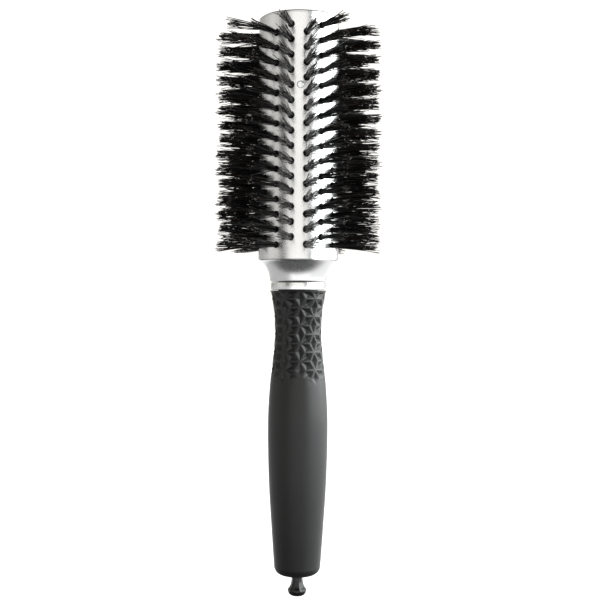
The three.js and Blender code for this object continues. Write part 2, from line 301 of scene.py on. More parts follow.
def object_noise(tree, scale, detail=2.0, roughness=0.5, stretch=(1, 1, 1)):
    """Noise fixed to the object, scale in features per metre."""
    place = add_node(tree, "ShaderNodeTexCoord").outputs["Object"]
    mapped = add_node(tree, "ShaderNodeMapping", {"Vector": place, "Scale": stretch}).outputs["Vector"]
    inputs = {"Vector": mapped, "Scale": scale, "Detail": detail, "Roughness": roughness}
    return add_node(tree, "ShaderNodeTexNoise", inputs).outputs["Fac"]


def spread(tree, value, low, high, start=0.3, end=0.7):
    """Maps a value from the stretch between start and end to the range from low to high."""
    inputs = {"Value": value, "From Min": start, "From Max": end, "To Min": low, "To Max": high}
    return add_node(tree, "ShaderNodeMapRange", inputs).outputs["Result"]


def mix_colours(tree, factor, first, second):
    """Blends two colours, each given as a triple or as a socket."""
    inputs = {"Factor": factor, "A": first, "B": second}
    for key in "AB":
        if not isinstance(inputs[key], bpy.types.NodeSocket):
            inputs[key] = (*inputs[key], 1)
    return add_node(tree, "ShaderNodeMix", inputs, data_type="RGBA").outputs["Result"]


def add_bump(tree, shader, height, strength, depth):
    inputs = {"Height": height, "Strength": strength, "Distance": depth}
    bump = add_node(tree, "ShaderNodeBump", inputs)
    tree.links.new(bump.outputs["Normal"], shader.inputs["Normal"])


# ---- Materials ----
def satin_aluminium(name, shade):
    """Bead-blasted and clear-anodised: fine grain in the surface and a faint change of tone."""
    material, tree, shader = new_material(name, Metallic=1.0)
    tone = spread(tree, object_noise(tree, 90), 0, 1)
    dull = (shade * 0.97, shade * 0.97, shade * 0.965)
    colour = mix_colours(tree, tone, dull, (shade * 1.03,) * 3)
    tree.links.new(colour, shader.inputs["Base Color"])
    grain = object_noise(tree, 2600, detail=3, roughness=0.65)
    tree.links.new(spread(tree, grain, 0.16, 0.3), shader.inputs["Roughness"])
    add_bump(tree, shader, grain, 0.5, 0.04 * MM)
    return material


def grip_rubber():
    """Soft-touch rubber: near black, satin, with a very fine grain."""
    material, tree, shader = new_material("grip_rubber", Specular_IOR_Level=0.34)
    tone = spread(tree, object_noise(tree, 60, detail=4), 0, 1)
    colour = mix_colours(tree, tone, (0.004, 0.004, 0.0042), (0.0065, 0.0063, 0.0062))
    tree.links.new(colour, shader.inputs["Base Color"])
    grain = object_noise(tree, 5200, detail=2, roughness=0.6)
    tree.links.new(spread(tree, grain, 0.39, 0.49), shader.inputs["Roughness"])
    add_bump(tree, shader, grain, 0.12, 0.02 * MM)
    return material


def bristle_material():
    """Black bristles, some of them dark brown, with a gloss that differs from hair to hair, and a painted
    pale highlight on the cut tips.
    """
    material, tree, shader = new_material("bristle", Specular_IOR_Level=0.16)
    hair = add_node(tree, "ShaderNodeAttribute", attribute_name="hair")
    parts = add_node(tree, "ShaderNodeSeparateColor", {"Color": hair.outputs["Color"]})
    brown = spread(tree, parts.outputs["Red"], 0, 1, 0.86, 1.0)
    body = mix_colours(tree, brown, (0.003, 0.0028, 0.0027), (0.032, 0.018, 0.01))
    streaks = spread(tree, object_noise(tree, 900, detail=2), 0.2, 1)
    body = mix_colours(tree, streaks, (0.0025, 0.0025, 0.0025), body)
    # Painted highlight: the end faces of the cut tips are painted pale to stand for glints
    colour = mix_colours(tree, parts.outputs["Green"], body, (0.62, 0.58, 0.53))
    tree.links.new(colour, shader.inputs["Base Color"])
    tree.links.new(spread(tree, parts.outputs["Blue"], 0.26, 0.42, 0, 1), shader.inputs["Roughness"])
    return material


def gloss_plastic():
    """Injection-moulded black plastic with faint flow marks."""
    material, tree, shader = new_material("gloss_plastic", Specular_IOR_Level=0.28)
    tone = spread(tree, object_noise(tree, 300, detail=3), 0, 1)
    colour = mix_colours(tree, tone, (0.003, 0.003, 0.003), (0.006, 0.006, 0.006))
    tree.links.new(colour, shader.inputs["Base Color"])
    wave = object_noise(tree, 420, detail=1)
    tree.links.new(spread(tree, wave, 0.14, 0.24), shader.inputs["Roughness"])
    add_bump(tree, shader, wave, 0.1, 0.03 * MM)
    return material


def core_plastic():
    """Glass-filled moulding: dull, with a visible fibre mottle."""
    material, tree, shader = new_material("core_plastic")
    fibre = object_noise(tree, 1800, detail=4, stretch=(1, 1, 0.15))
    colour = mix_colours(tree, fibre, (0.012, 0.012, 0.013), (0.035, 0.035, 0.037))
    tree.links.new(colour, shader.inputs["Base Color"])
    tree.links.new(spread(tree, fibre, 0.45, 0.65), shader.inputs["Roughness"])
    add_bump(tree, shader, fibre, 0.2, 0.03 * MM)
    return material


def drawn_steel():
    """Ground steel with fine lines along the pin."""
    material, tree, shader = new_material("drawn_steel", Metallic=1.0)
    lines = object_noise(tree, 2600, detail=3, stretch=(1, 1, 0.03))
    colour = mix_colours(tree, lines, (0.56, 0.57, 0.58), (0.72, 0.73, 0.74))
    tree.links.new(colour, shader.inputs["Base Color"])
    tree.links.new(spread(tree, lines, 0.16, 0.34), shader.inputs["Roughness"])
    add_bump(tree, shader, lines, 0.15, 0.01 * MM)
    return material


def ring_rubber():
    """Plain nitrile rubber with a dusty bloom."""
    material, tree, shader = new_material("ring_rubber")
    bloom = object_noise(tree, 1500, detail=4)
    colour = mix_colours(tree, bloom, (0.01, 0.01, 0.01), (0.03, 0.03, 0.03))
    tree.links.new(colour, shader.inputs["Base Color"])
    tree.links.new(spread(tree, bloom, 0.55, 0.75), shader.inputs["Roughness"])
    return material


ALUMINIUM = satin_aluminium("satin_aluminium", 0.62)
# The same aluminium, darker: a shaded copy for the ferrule, which paints shade on its flare
SHADED_COPY_ALUMINIUM = satin_aluminium("shaded_copy_aluminium", 0.53)
RUBBER = grip_rubber()
BRISTLE = bristle_material()
GLOSS = gloss_plastic()
CORE = core_plastic()
STEEL = drawn_steel()
NITRILE = ring_rubber()


# ---- Barrel ----
def column_angle(column):
    """Direction of a column of tufts, the first one just right of the front."""
    return FRONT + (column + 0.5) * COLUMN_ANGLE


def tuft_heights(column):
    """Every second column starts half a pitch higher."""
    start = FIRST_TUFT + (PITCH / 2 if column % 2 else 0)
    return [start + i * PITCH for i in range(TUFTS)]


def square_ring(steps):
    """Points round the edge of a square of half-width 1, from its lower right corner, anticlockwise."""
    side = np.linspace(-1, 1, steps + 1)[:-1]
    one = np.ones(steps)
    edges = [(one, side), (-side, one), (-one, -side), (side, -one)]
    return np.concatenate([np.column_stack(edge) for edge in edges])


class Sleeve:
    """The perforated tube as one closed mesh: an outer skin, an inner skin and the hole walls between them.

    The skins are laid out flat, as arc length and height, and each tuft has a cell of SPLIT by SPLIT
    grid steps. A cell with a hole is a set of rings from its square edge to the round rim.
    """

    SPLIT = 6

    def __init__(self):
        self.index = {}
        self.points = []
        self.faces = []
        low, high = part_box("barrel_sleeve")
        self.bottom = low.z
        self.top = high.z
        self.cell_width = COLUMN_ANGLE * BARREL_RADIUS
        self.step = PITCH / self.SPLIT
        self.first = FIRST_TUFT - PITCH / 2

    def point(self, across, height, depth):
        """Index of the point at an arc length, a height and a depth under the outer surface."""
        turn = across / BARREL_RADIUS
        key = (round(math.cos(turn), 6), round(math.sin(turn), 6), round(height, 7), round(depth, 7))
        if key not in self.index:
            radius = BARREL_RADIUS - depth
            self.index[key] = len(self.points)
            self.points.append((radius * math.cos(turn), radius * math.sin(turn), height))
        return self.index[key]

    def quad(self, corners, inward):
        face = [self.point(*corner) for corner in corners]
        self.faces.append(tuple(reversed(face)) if inward else tuple(face))

    def patch(self, left, heights):
        """A plain stretch of both skins, one cell wide."""
        across = [left + self.cell_width * i / self.SPLIT for i in range(self.SPLIT + 1)]
        for depth in (0, SLEEVE_WALL):
            for x0, x1 in zip(across, across[1:]):
                for z0, z1 in zip(heights, heights[1:]):
                    corners = [(x0, z0, depth), (x1, z0, depth), (x1, z1, depth), (x0, z1, depth)]
                    self.quad(corners, depth > 0)

    def holed_cell(self, across, height):
        """Both skins round one hole, and the hole's wall."""
        square = square_ring(self.SPLIT) * (self.cell_width / 2, PITCH / 2)
        count = len(square)
        angles = -math.pi / 4 + 2 * math.pi * np.arange(count) / count
        circle = np.column_stack([np.cos(angles), np.sin(angles)])
        half_turned = HOLE_ROUND * (1 - math.cos(math.pi / 4))
        hold = circle * (HOLE_RADIUS + 2.2 * HOLE_ROUND)  # keeps the rim's shading off the plain skin
        between = square * 0.4 + hold * 0.6
        rings = [
            (square, 0),
            (between, 0),
            (hold, 0),
            (circle * (HOLE_RADIUS + HOLE_ROUND), 0),
            (circle * (HOLE_RADIUS + half_turned), half_turned),
            (circle * HOLE_RADIUS, HOLE_ROUND),
            (circle * HOLE_RADIUS, SLEEVE_WALL),
            (hold, SLEEVE_WALL),
            (between, SLEEVE_WALL),
            (square, SLEEVE_WALL),
        ]
        for (outer, start), (inner, end) in zip(rings, rings[1:]):
            for i in range(count):
                j = (i + 1) % count
                ends = [(outer[i], start), (outer[j], start), (inner[j], end), (inner[i], end)]
                self.quad([(across + x, height + z, depth) for (x, z), depth in ends], False)

    def build(self):
        split = self.SPLIT
        half = self.cell_width / 2
        above = self.first + (TUFTS + 0.5) * PITCH
        ends = [[self.bottom + SLEEVE_CHAMFER, self.first], [above, self.top - SLEEVE_CHAMFER]]
        for column in range(COLUMNS):
            centre = column_angle(column) * BARREL_RADIUS
            left = centre - half
            for height in tuft_heights(column):
                self.holed_cell(centre, height)
            start = self.first if column % 2 else above - PITCH / 2
            self.patch(left, [start + i * self.step for i in range(split // 2 + 1)])
            for heights in ends:
                self.patch(left, heights)
            for i in range(split):
                x0 = left + self.cell_width * i / split
                x1 = left + self.cell_width * (i + 1) / split
                self.end_wall(x0, x1, self.bottom, ends[0][0], False)
                self.end_wall(x0, x1, self.top, ends[1][1], True)
        return mesh_object("sleeve_perforated", self.points, self.faces, ALUMINIUM, SLEEVE_CREASE)

    def end_wall(self, x0, x1, end, shoulder, upper):
        """The tube's end face, with a small chamfer to each skin."""
        chamfer = SLEEVE_CHAMFER
        path = [(shoulder, 0), (end, chamfer), (end, SLEEVE_WALL - chamfer), (shoulder, SLEEVE_WALL)]
        for (z0, d0), (z1, d1) in zip(path, path[1:]):
            self.quad([(x0, z0, d0), (x1, z0, d0), (x1, z1, d1), (x0, z1, d1)], not upper)


def drill(obj, radius, height, material):
    """Cuts a round hole through the front wall of a tube."""
    depth = 4 * MM
    tool = turned("drill", [(0, 0), (radius, 0), (radius, depth), (0, depth)], material, sides=64)
    tool.rotation_euler = (math.pi / 2, 0, PIN_TURN)
    reach = BARREL_RADIUS - depth / 2
    tool.location = (reach * math.sin(PIN_TURN), -reach * math.cos(PIN_TURN), height)
    cut = obj.modifiers.new("cut", "BOOLEAN")
    cut.object = tool
    cut.operation = "DIFFERENCE"
    cut.solver = "EXACT"
    bpy.context.view_layer.update()
    drilled = bpy.data.meshes.new_from_object(obj.evaluated_get(bpy.context.evaluated_depsgraph_get()))
    obj.modifiers.clear()
    obj.data = drilled
    drilled.set_sharp_from_angle(angle=math.radians(SLEEVE_CREASE))
    bpy.data.objects.remove(tool)


def build_sleeve():
    sleeve = Sleeve().build()
    drill(sleeve, PIN_HOLE_RADIUS, PIN_HEIGHT, ALUMINIUM)
    stand_for(sleeve, BODY, "barrel_metal", "barrel_sleeve")


def build_cross_pin():
    """The flush pin through the barrel wall, with a slightly domed head."""
    low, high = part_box("barrel_pin")
    out = -low.y
    inner = -high.y
    neck = 16.3 * MM
    edge = 0.2 * MM
    profile = [
        (0, inner),
        (PIN_SHANK_RADIUS, inner + 1 * MM),
        (PIN_SHANK_RADIUS, neck),
        (PIN_HEAD_RADIUS, neck),
        *arc(PIN_HEAD_RADIUS - edge, out - edge, edge, 0, 90, 4),
        (0, out + 0.03 * MM),
    ]

    def lay_down(points):
        across = points[:, 0] * math.cos(PIN_TURN) + points[:, 2] * math.sin(PIN_TURN)
        outward = points[:, 0] * math.sin(PIN_TURN) - points[:, 2] * math.cos(PIN_TURN)
        return np.column_stack([across, outward, PIN_HEIGHT + points[:, 1]])

    pin = turned("cross_pin", profile, STEEL, sides=64, shape=lay_down)
    stand_for(pin, BODY, "pin_steel", "barrel_pin")


# ---- Bristles ----
def disc(rng, count):
    """Even random points in a disc of radius 1."""
    turn = rng.uniform(0, 2 * math.pi, count)
    return np.column_stack([np.cos(turn), np.sin(turn)]) * np.sqrt(rng.uniform(0, 1, count))[:, None]


def clump_places(rng):
    """Places of the tufts' clumps in a disc of radius 1: evenly packed, each tuft turned by chance."""
    number = np.arange(CLUMPS)
    reach = np.sqrt((number + 0.5) / CLUMPS)
    places = []
    for start in rng.uniform(0, 2 * math.pi, TUFTS):
        turn = start + number * GOLDEN_ANGLE
        places.append(np.column_stack([reach * np.cos(turn), reach * np.sin(turn)]))
    return np.concatenate(places) + disc(rng, TUFTS * CLUMPS) * CLUMP_SCATTER


def hair_sides(rng, count):
    """Places of the hairs across their tuft's own axis, at every station along them."""
    lean = np.repeat(rng.normal(0, TUFT_LEAN, (TUFTS, 2)), HAIRS, axis=0)
    fan = np.repeat(rng.uniform(*TUFT_FANS, TUFTS), HAIRS) * MM
    clump = np.repeat(clump_places(rng), CLUMP_HAIRS, axis=0)
    root = clump * ROOT_DISC + disc(rng, count) * ROOT_SCATTER
    stray = rng.uniform(0, 1, count) < STRAY_SHARE
    fan = fan * np.where(stray, rng.uniform(*STRAY_FANS, count), rng.uniform(*USUAL_FANS, count))
    tip = clump * fan[:, None] + lean + disc(rng, count) * TIP_SCATTER
    bend = rng.normal(0, HAIR_BEND, (count, 2))
    free = np.clip((HAIR_STATIONS - HAIR_STATIONS[1]) / (1 - HAIR_STATIONS[1]), 0, 1)
    fans = free[None, :, None] ** FAN_CURVE
    bows = (free * (1 - free) * 4)[None, :, None]
    return root[:, None] + (tip - root)[:, None] * fans + bend[:, None] * bows


def hair_reaches(rng, count):
    """Distances of the hairs' tips from the barrel's axis."""
    clump_reach = np.repeat(rng.normal(*CLUMP_REACH, TUFTS * CLUMPS), CLUMP_HAIRS) * MM
    short = np.where(rng.uniform(0, 1, count) < SHORT_SHARE, rng.uniform(0, SHORTENING, count), 0) * MM
    tuft_reach = np.repeat(rng.normal(*TUFT_REACH, TUFTS), HAIRS) * MM
    reach = TIP_REACH + tuft_reach + clump_reach + rng.normal(*HAIR_REACH, count) - short
    return np.minimum(reach, TIP_REACH + LONGEST)


def hair_tubes(rng, centre, sideways, upward):
    """Points and faces of thin tapered tubes along the hairs' centre lines."""
    count = len(centre)
    thick = HAIR_RADIUS * rng.uniform(*THICKNESSES, count)[:, None] * HAIR_WIDTHS[None]
    angles = rng.uniform(0, 2 * math.pi, count)[:, None] + 2 * math.pi * np.arange(HAIR_SIDES) / HAIR_SIDES
    ring = np.cos(angles)[..., None] * sideways + np.sin(angles)[..., None] * upward
    points = centre[:, :, None] + thick[..., None, None] * ring[:, None]
    quads = np.array(grid_faces(HAIR_SIDES, len(HAIR_STATIONS)))
    caps = np.array([(2, 1, 0), (HAIR_POINTS - 3, HAIR_POINTS - 2, HAIR_POINTS - 1)])
    starts = np.arange(count)[:, None, None] * HAIR_POINTS
    faces = (starts + quads).reshape(-1, 4).tolist() + (starts + caps).reshape(-1, 3).tolist()
    return points.reshape(-1, 3), faces


def bristle_row(column, rng):
    """One column of tufts: each tuft is a bundle of separate tapered hairs that fan out from its hole."""
    direction = column_angle(column)
    radial = np.array([math.cos(direction), math.sin(direction), 0])
    sideways = np.array([-math.sin(direction), math.cos(direction), 0])
    upward = np.array([0, 0, 1.0])
    heights = np.repeat(tuft_heights(column), HAIRS)
    side = hair_sides(rng, len(heights))
    reach = hair_reaches(rng, len(heights))
    out = HAIR_START + (reach - HAIR_START)[:, None] * HAIR_STATIONS[None]
    centre = out[..., None] * radial + side[..., :1] * sideways
    centre += (side[..., 1:] + heights[:, None, None]) * upward
    points, faces = hair_tubes(rng, centre, sideways, upward)
    strip_points, strip_faces = carrier_strip(radial, sideways, len(points))
    points = np.vstack([points, strip_points])
    obj = mesh_object("bristles_%02d" % (column + 1), points, faces + strip_faces, BRISTLE, HAIR_CREASE)
    hair_tones(obj.data, rng, len(heights))
    stand_for(obj, BODY, "bristle", "bristle_row_%02d" % (column + 1))


def carrier_strip(radial, sideways, first):
    """The flat strip under the sleeve that a column's hairs are set in."""
    low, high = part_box("barrel_core")
    corners = [(STRIP_INNER, -1), (HAIR_START, -1), (HAIR_START, 1), (STRIP_INNER, 1)]
    points = []
    for height in (low.z, high.z):
        for out, side in corners:
            points.append(radial * out + sideways * side * STRIP_HALF_WIDTH + np.array([0, 0, height]))
    faces = [(3, 2, 1, 0), (4, 5, 6, 7), *grid_faces(4, 2)]
    return points, [tuple(first + i for i in face) for face in faces]


def hair_tones(mesh, rng, count):
    """Stores a colour number, a painted tip highlight and a gloss number on every hair for the material."""
    tone = np.zeros((len(mesh.vertices), 4), np.float32)
    hairs = tone[: count * HAIR_POINTS].reshape(count, HAIR_POINTS, 4)
    hairs[..., 0] = rng.uniform(0, 1, count)[:, None]
    # The tip faces' mark drives a painted highlight: pale end faces standing for glints
    hairs[:, -HAIR_SIDES:, 1] = rng.uniform(0, 1, count)[:, None] ** 3
    hairs[..., 2] = rng.uniform(0, 1, count)[:, None]
    layer = mesh.attributes.new("hair", "FLOAT_COLOR", "POINT")
    layer.data.foreach_set("color", tone.ravel())


def build_bristles():
    for column in range(COLUMNS):
        bristle_row(column, np.random.default_rng(FIRST_SEED + column))


# ---- Metal trim ----
def build_tip_cap():
    low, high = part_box("tip_cap")
    _, sleeve_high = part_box("barrel_sleeve")
    top = high.z
    rim_low = sleeve_high.z + 0.02 * MM
    corner = 0.03 * MM
    profile = [
        (0, top - CAP_DISH_DEPTH - CAP_WALL),
        (PLUG_RADIUS - CAP_WALL, top - CAP_DISH_DEPTH - CAP_WALL),
        (PLUG_RADIUS - CAP_WALL, low.z),
        (PLUG_RADIUS, low.z),
        (PLUG_RADIUS, rim_low),
        (BARREL_RADIUS - corner, rim_low),
        (BARREL_RADIUS, rim_low + corner),
        *arc(BARREL_RADIUS - CAP_BEVEL, top - CAP_EDGE, CAP_BEVEL, 0, 40, 3),
        (BARREL_RADIUS - CAP_EDGE, top),
        (CAP_DISH_RADIUS, top),
        *arc(CAP_DISH_RADIUS, top - CAP_DISH_DEPTH, CAP_DISH_DEPTH, 90, 180, 4),
        (0, top - CAP_DISH_DEPTH),
    ]
    cap = turned("cap_dished", profile, ALUMINIUM, sides=192)
    stand_for(cap, BODY, "barrel_metal", "tip_cap")


def build_ferrule():
    low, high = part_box("ferrule")
    sleeve_low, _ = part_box("barrel_sleeve")
    top = sleeve_low.z - GAP
    sweep = math.degrees(math.asin((top - FERRULE_LIP - low.z) / FERRULE_CURVE))
    flare = arc(FERRULE_NECK + FERRULE_CURVE, low.z, FERRULE_CURVE, 180, 180 - sweep, 24)
    profile = [
        (FERRULE_BORE, low.z),
        (FERRULE_NECK - METAL_EDGE, low.z),
        *[point for point in flare if point[1] > low.z + METAL_EDGE],
        (BARREL_RADIUS - LIP_INSET, top - LIP_EDGE[1]),
        (BARREL_RADIUS - LIP_INSET - LIP_EDGE[0], top),
        (PLUG_RADIUS, top),
        (PLUG_RADIUS, high.z),
        (FERRULE_BORE, high.z),
        (FERRULE_BORE, low.z),
    ]
    # The ferrule takes the darker copy of the aluminium: painted shade
    ferrule = turned("ferrule_flared", profile, SHADED_COPY_ALUMINIUM, sides=160)
    stand_for(ferrule, BODY, "ferrule_metal", "ferrule")


def build_band():
    low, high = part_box("ferrule_band")
    middle = high.x - METAL_EDGE
    profile = [
        (FERRULE_BORE, low.z),
        *arc(middle, low.z + METAL_EDGE, METAL_EDGE, -90, 0, 4),
        *arc(middle, high.z - METAL_EDGE, METAL_EDGE, 0, 90, 4),
        (FERRULE_BORE, high.z),
        (FERRULE_BORE, low.z),
    ]
    stand_for(turned("band_ring", profile, ALUMINIUM, sides=160), BODY, "ferrule_metal", "ferrule_band")


# ---- Grip ----
def grip_outline():
    """Height and radius of the grip's side, smoothed through the CAD's own rings above its end fillet."""
    points = np.array([vertex.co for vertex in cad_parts["grip_sleeve"].data.vertices])
    radii = np.hypot(points[:, 0], points[:, 1])
    low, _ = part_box("grip_sleeve")
    rings = {}
    for height, radius in zip(np.round(points[:, 2], 6), radii):
        rings[height] = max(radius, rings.get(height, 0))
    start = low.z + GRIP_FILLET - 0.05 * MM
    heights = np.array(sorted(height for height in rings if height >= start))
    return heights, np.array([rings[height] for height in heights])


def smooth_through(heights, radii):
    """A smooth curve of cubic pieces through the outline, as a function of height."""
    slopes = np.gradient(radii, heights)

    def radius_at(height):
        height = np.clip(height, heights[0], heights[-1])
        i = np.clip(np.searchsorted(heights, height) - 1, 0, len(heights) - 2)
        gap = heights[i + 1] - heights[i]
        t = (height - heights[i]) / gap
        return (
            (2 * t**3 - 3 * t**2 + 1) * radii[i]
            + (t**3 - 2 * t**2 + t) * gap * slopes[i]
            + (3 * t**2 - 2 * t**3) * radii[i + 1]
            + (t**3 - t**2) * gap * slopes[i + 1]
        )

    return radius_at


def pattern_depth(turn, height):
    """Depth of the pattern under the grip's outline.

    Star centres form a triangular lattice round the grip. Raised rounded ridges run from every star to the
    middles of the six lattice triangles round it. The rhombic cells between the ridges are hollow.
    """
    column = (turn - STAR_TURN) * GRIP_COLUMNS / (2 * math.pi)
    row = (height - STAR_TOP) / STAR_PITCH - column / 2
    across = column - np.floor(column)
    up = row - np.floor(row)
    upper = across + up > 1
    across = np.where(upper, 1 - across, across)
    up = np.where(upper, 1 - up, up)
    shares = np.sort(np.stack([across, up, 1 - across - up]), axis=0)
    from_ridge = (shares[1] - shares[0]) * STAR_PITCH / 2
    slope = np.maximum(from_ridge - RIDGE_FLAT, 0)
    deepest = STAR_PITCH / 4 - RIDGE_FLAT
    fall = np.hypot(slope, RIDGE_ROUND) - RIDGE_ROUND
    return CELL_DEPTH * fall / (math.hypot(deepest, RIDGE_ROUND) - RIDGE_ROUND)


def pattern_share(turn, height):
    """How much of the pattern shows: none at the grip's top edge, and none under the lowest stars."""
    column = (turn - STAR_TURN) * GRIP_COLUMNS / (2 * math.pi)
    sway = np.abs((column % 2) - 1)  # 0 on odd columns, 1 on even ones
    end = STAR_TOP - (STARS_BELOW + 0.5 * (1 - sway)) * STAR_PITCH
    low = np.clip((height - end) / END_FADE, 0, 1)
    _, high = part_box("grip_sleeve")
    top = np.clip((high.z - PATTERN_RIM - height) / RIM_FADE, 0, 1)
    return low * low * (3 - 2 * low) * top


def round_row(radius, height, turns):
    """One row of points round the grip. Radius and height are numbers or one value for each direction."""
    heights = height + np.zeros(len(turns))
    return np.column_stack([radius * np.cos(turns), radius * np.sin(turns), heights])


def tail_profile(bottom, radius):
    """From the hole in the tail, round its edge and the tail's fillet."""
    edge = arc(GRIP_HOLE + GRIP_EDGE, bottom + GRIP_EDGE, GRIP_EDGE, 180, 270, 3)
    fillet = arc(radius - GRIP_FILLET, bottom + GRIP_FILLET, GRIP_FILLET, -90, -4, 12)
    return [(GRIP_HOLE, bottom + GRIP_EDGE), *edge, *fillet]


def textured_rows(radius_at, heights, turns, step):
    """Rows of the patterned stretch. Every second column is half a step higher, as the stars are."""
    odd = (np.arange(len(turns)) % 2) * step / 2
    rows = []
    for number, height in enumerate(heights):
        shift = odd if 0 < number < len(heights) - 1 else 0
        at = height + shift + np.zeros(len(turns))
        radius = radius_at(at) - pattern_depth(turns, at) * pattern_share(turns, at)
        rows.append(round_row(radius, at, turns))
    return rows


def inner_profile(radius_at, bottom, heights):
    """The sleeve's inner side, from its top down to the hole in the tail."""
    side = [(float(radius_at(height)) - GRIP_WALL, float(height)) for height in heights]
    end = float(radius_at(heights[-1])) - GRIP_WALL
    return [*side, (end, bottom + GRIP_WALL), (GRIP_HOLE, bottom + GRIP_WALL)]


def build_grip():
    low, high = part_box("grip_sleeve")
    heights, radii = grip_outline()
    radius_at = smooth_through(heights, radii)
    columns = GRIP_COLUMNS * FINE
    turns = STAR_TURN + 2 * math.pi * np.arange(columns) / columns
    step = STAR_PITCH / FINE
    top_row = high.z - GRIP_EDGE
    rows_above = int((top_row - STAR_TOP) / step)
    rows_below = int((STAR_TOP - PATTERN_LOW) / step)
    fine = STAR_TOP + step * np.arange(-rows_below, rows_above + 1)
    plain = np.linspace(heights[0], fine[0], PLAIN_ROWS)[:-1]
    rim = radii[-1]
    rim_edge = arc(rim - GRIP_EDGE, high.z - GRIP_EDGE, GRIP_EDGE, 15, 90, 4)
    inner_heights = np.linspace(high.z, heights[0], INNER_ROWS)
    lower = [*tail_profile(low.z, radii[0]), *[(float(radius_at(height)), height) for height in plain]]
    upper = [(rim - 0.02 * MM, top_row), *rim_edge, *inner_profile(radius_at, low.z, inner_heights)]
    rows = [round_row(radius, height, turns) for radius, height in lower]
    rows += textured_rows(radius_at, fine, turns, step)
    rows += [round_row(radius, height, turns) for radius, height in upper]
    points = np.concatenate(rows)
    faces = grid_faces(columns, len(rows))
    faces += band_faces((len(rows) - 1) * columns, 0, columns)
    grip = mesh_object("grip_textured", points, faces, RUBBER, GRIP_CREASE)
    stand_for(grip, BODY, "grip_rubber", "grip_sleeve")


# ---- Pick and its bush ----
def faceted(points, low, high, full_low):
    """Flattens a turned shape into equal facets, from none at one height to full at another."""
    turn = np.arctan2(points[:, 1], points[:, 0]) - FRONT
    height = points[:, 2]
    half = math.pi / KNOB_SIDES
    from_middle = (turn + half) % (2 * half) - half
    flat = math.cos(half) / np.cos(from_middle)
    hollow = FACET_HOLLOW * (1 - (from_middle / half) ** 2)
    share = np.clip((height - low) / (full_low - low), 0, 1) * (height < high)
    scale = 1 - (1 - flat + hollow) * share
    return np.column_stack([points[:, 0] * scale, points[:, 1] * scale, height])


def build_knob():
    """The button and its faceted neck under the tail, and the grooved plug that fits the bush."""
    grip_low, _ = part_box("grip_sleeve")
    _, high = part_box("pick_knob")
    ring_low, ring_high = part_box("pick_ring")
    shaft_low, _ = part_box("pick_shaft")
    groove_low = ring_low.z - GAP
    groove_high = ring_high.z + GAP
    hole = SHAFT_RADIUS + GAP
    shoulder = grip_low.z + GAP
    chamfer = 0.5 * MM
    profile = [
        (0, 0),
        *arc(KNOB_RADIUS - KNOB_ROUND, KNOB_ROUND, KNOB_ROUND, -90, 0, 10)[1:],
        *[(radius * MM, height * MM) for radius, height in KNOB_FLARE],
        (NECK_RADIUS, NECK_LOW),
        (NECK_RADIUS, shoulder),
        (KNOB_PLUG_RADIUS, shoulder),
        (KNOB_PLUG_RADIUS, groove_low),
        (GROOVE_FLOOR, groove_low),
        (GROOVE_FLOOR, groove_high),
        (KNOB_PLUG_RADIUS, groove_high),
        (KNOB_PLUG_RADIUS, high.z - chamfer),
        (KNOB_PLUG_RADIUS - chamfer, high.z),
        (hole, high.z),
        (hole, shaft_low.z - GAP),
        (0, shaft_low.z - GAP),
    ]

    def facets(points):
        return faceted(points, FACETS_LOW, shoulder + 0.01 * MM, FACETS_FULL)

    knob = turned("knob_faceted", profile, GLOSS, sides=160, sharp_angle=30, shape=facets)
    stand_for(knob, PICK, "knob_plastic", "pick_knob")


def build_shaft():
    low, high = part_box("pick_shaft")
    chamfer = 0.2 * MM
    profile = [
        (0, low.z),
        (SHAFT_RADIUS - chamfer, low.z),
        (SHAFT_RADIUS, low.z + chamfer),
        (SHAFT_RADIUS, high.z - SHAFT_TAPER),
        *arc(0, high.z - SHAFT_POINT, SHAFT_POINT, 12, 90, 8)[:-1],
        (0, high.z),
    ]
    stand_for(turned("pick_pin", profile, STEEL, sides=48), PICK, "pin_steel", "pick_shaft")


def build_ring():
    low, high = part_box("pick_ring")
    section = (high.z - low.z) / 2
    loop = arc(high.x - section, (low.z + high.z) / 2, section, -180, 180, 20)
    loop[-1] = loop[0]
    ring = turned("pick_o_ring", loop, NITRILE, sides=72, sharp_angle=None)
    stand_for(ring, PICK, "ring_rubber", "pick_ring")


def build_bush():
    low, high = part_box("pick_bush")
    floor = high.z - BUSH_ROOF
    edge = 0.3 * MM
    profile = [
        *arc(BUSH_BORE + edge, low.z + edge, edge, 180, 270, 4),
        *arc(BUSH_RADIUS - edge, low.z + edge, edge, -90, 0, 4),
        (BUSH_RADIUS, high.z),
        (BUSH_GUIDE, high.z),
        (BUSH_GUIDE, floor),
        (BUSH_BORE, floor),
        (BUSH_BORE, low.z + edge),
    ]
    stand_for(turned("bush_lining", profile, CORE, sides=96), BODY, "core_plastic", "pick_bush")


def dress_cad(node, material):
    """A CAD node whose shape is right keeps its mesh and takes a full material."""
    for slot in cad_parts[node].material_slots:
        slot.material = material


# ---- Studio and camera ----
def studio():
    """A white table, and surroundings of soft panels: bright on the right, grey on the left."""
    scene = bpy.context.scene
    scene.view_settings.view_transform = "Standard"
    world = bpy.data.worlds.new("studio")
    scene.world = world
    world.use_nodes = True
    tree = world.node_tree
    surround = tree.nodes["Background"]
    place = add_node(tree, "ShaderNodeTexCoord").outputs["Generated"]
    axes = add_node(tree, "ShaderNodeSeparateXYZ", {"Vector": place}).outputs
    around = light_around(tree, axes, PANELS)
    rise = spread(tree, axes["Z"], 0, 1, 0, 1)
    upward = light_ramp(tree, rise, CEILING, lambda degrees: math.sin(math.radians(degrees)))
    tree.links.new(math_node(tree, "MULTIPLY", around, upward), surround.inputs["Strength"])
    right = smooth_step(tree, axes["X"], 0.3, 0.8)
    tree.links.new(mix_colours(tree, right, WARM, COOL), surround.inputs["Color"])
    light_table()


